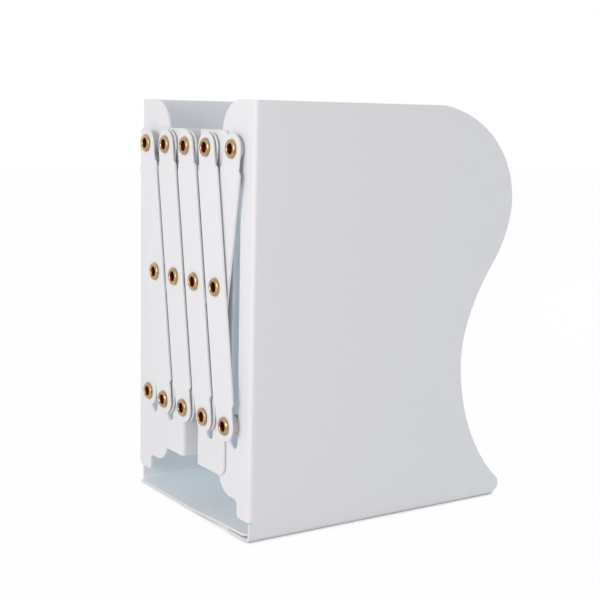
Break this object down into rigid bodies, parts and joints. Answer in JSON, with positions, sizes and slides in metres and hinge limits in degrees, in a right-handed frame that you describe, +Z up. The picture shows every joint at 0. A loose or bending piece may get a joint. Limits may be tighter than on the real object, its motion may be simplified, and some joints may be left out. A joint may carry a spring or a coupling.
{
  "type": "expanding bookend",
  "caption": "White sheet-metal bookend whose S-fronted end panels and hanging dividers spread on a lazy-tongs back to hold books of varied thickness.",
  "frame": {"origin": "centre of the folded bookend's bounding box, on the surface that it stands on", "axes": "+Z up, +X across the book bays towards the end panel with the short base, +Y away from the lazy tongs towards the open side"},
  "size_m": [0.1068, 0.1518, 0.19],
  "materials": {
    "white_paint": "white satin powder coat on steel sheet",
    "eyelet_brass": "rolled, slightly antiqued",
    "ring_nylon": "matte moulded rings"
  },
  "bodies": {
    "right_end": {"right_end_panel": "white_paint", "top_eyelet_5": "eyelet_brass", "top_standoff_5": "ring_nylon"},
    "left_end": {"left_end_panel": "white_paint", "top_eyelet_1": "eyelet_brass", "top_standoff_1": "ring_nylon"},
    "divider_right": {"right_divider": "white_paint", "top_eyelet_4": "eyelet_brass", "top_layer_washer_4": "ring_nylon", "top_washer_4": "ring_nylon"},
    "divider_left": {"left_divider": "white_paint", "top_eyelet_2": "eyelet_brass", "top_layer_washer_2": "ring_nylon", "top_washer_2": "ring_nylon"},
    "front_1": {"front_bar_1": "white_paint", "centre_eyelet_1": "eyelet_brass", "centre_layer_washer_1": "ring_nylon", "bottom_eyelet_2": "eyelet_brass", "bottom_layer_washer_2": "ring_nylon", "bottom_washer_2": "ring_nylon"},
    "front_2": {"front_bar_2": "white_paint", "centre_eyelet_2": "eyelet_brass", "centre_layer_washer_2": "ring_nylon", "bottom_eyelet_3": "eyelet_brass", "bottom_layer_washer_3": "ring_nylon"},
    "front_3": {"front_bar_3": "white_paint", "centre_eyelet_3": "eyelet_brass", "centre_layer_washer_3": "ring_nylon", "bottom_eyelet_4": "eyelet_brass", "bottom_layer_washer_4": "ring_nylon", "bottom_washer_4": "ring_nylon", "top_eyelet_3": "eyelet_brass", "top_layer_washer_3": "ring_nylon"},
    "front_4": {"front_bar_4": "white_paint", "centre_eyelet_4": "eyelet_brass", "centre_layer_washer_4": "ring_nylon", "bottom_eyelet_5": "eyelet_brass", "bottom_standoff_5": "ring_nylon"},
    "back_1": {"back_bar_1": "white_paint", "bottom_eyelet_1": "eyelet_brass", "bottom_standoff_1": "ring_nylon"},
    "back_2": {"back_bar_2": "white_paint"},
    "back_3": {"back_bar_3": "white_paint"},
    "back_4": {"back_bar_4": "white_paint"}
  },
  "joints": [
    {"name": "tongs_open", "type": "hinge", "parent": "right_end", "child": "back_4", "pos_m": [0.04015, -0.07255, 0.1695], "axis": [0, 1, 0], "range_deg": [0, 67]},
    {"name": "crossing_4", "type": "hinge", "parent": "back_4", "child": "front_4", "pos_m": [0.0306, -0.07255, 0.10975], "axis": [0, 1, 0], "range_deg": [-134, 0]},
    {"name": "divider_right_turn", "type": "hinge", "parent": "front_4", "child": "divider_right", "pos_m": [0.02105, -0.07255, 0.1695], "axis": [0, 1, 0], "range_deg": [0, 67]},
    {"name": "column_4_turn", "type": "hinge", "parent": "back_4", "child": "front_3", "pos_m": [0.02105, -0.07255, 0.05], "axis": [0, 1, 0], "range_deg": [-134, 0]},
    {"name": "crossing_3", "type": "hinge", "parent": "front_3", "child": "back_3", "pos_m": [0.0115, -0.07255, 0.10975], "axis": [0, 1, 0], "range_deg": [0, 134]},
    {"name": "column_3_turn", "type": "hinge", "parent": "front_3", "child": "back_2", "pos_m": [0.00195, -0.07255, 0.1695], "axis": [0, 1, 0], "range_deg": [0, 134]},
    {"name": "crossing_2", "type": "hinge", "parent": "back_2", "child": "front_2", "pos_m": [-0.0076, -0.07255, 0.10975], "axis": [0, 1, 0], "range_deg": [-134, 0]},
    {"name": "divider_left_turn", "type": "hinge", "parent": "front_2", "child": "divider_left", "pos_m": [-0.01715, -0.07255, 0.1695], "axis": [0, 1, 0], "range_deg": [0, 67]},
    {"name": "column_2_turn", "type": "hinge", "parent": "back_2", "child": "front_1", "pos_m": [-0.01715, -0.07255, 0.05], "axis": [0, 1, 0], "range_deg": [-134, 0]},
    {"name": "crossing_1", "type": "hinge", "parent": "front_1", "child": "back_1", "pos_m": [-0.0267, -0.07255, 0.10975], "axis": [0, 1, 0], "range_deg": [0, 134]},
    {"name": "left_end_turn", "type": "hinge", "parent": "front_1", "child": "left_end", "pos_m": [-0.03625, -0.07255, 0.1695], "axis": [0, 1, 0], "range_deg": [0, 67]}
  ],
  "couplings": [
    {"joint": "crossing_4", "follows": "tongs_open", "ratio": -2},
    {"joint": "divider_right_turn", "follows": "tongs_open", "ratio": 1},
    {"joint": "column_4_turn", "follows": "tongs_open", "ratio": -2},
    {"joint": "crossing_3", "follows": "tongs_open", "ratio": 2},
    {"joint": "column_3_turn", "follows": "tongs_open", "ratio": 2},
    {"joint": "crossing_2", "follows": "tongs_open", "ratio": -2},
    {"joint": "divider_left_turn", "follows": "tongs_open", "ratio": 1},
    {"joint": "column_2_turn", "follows": "tongs_open", "ratio": -2},
    {"joint": "crossing_1", "follows": "tongs_open", "ratio": 2},
    {"joint": "left_end_turn", "follows": "tongs_open", "ratio": 1}
  ]
}
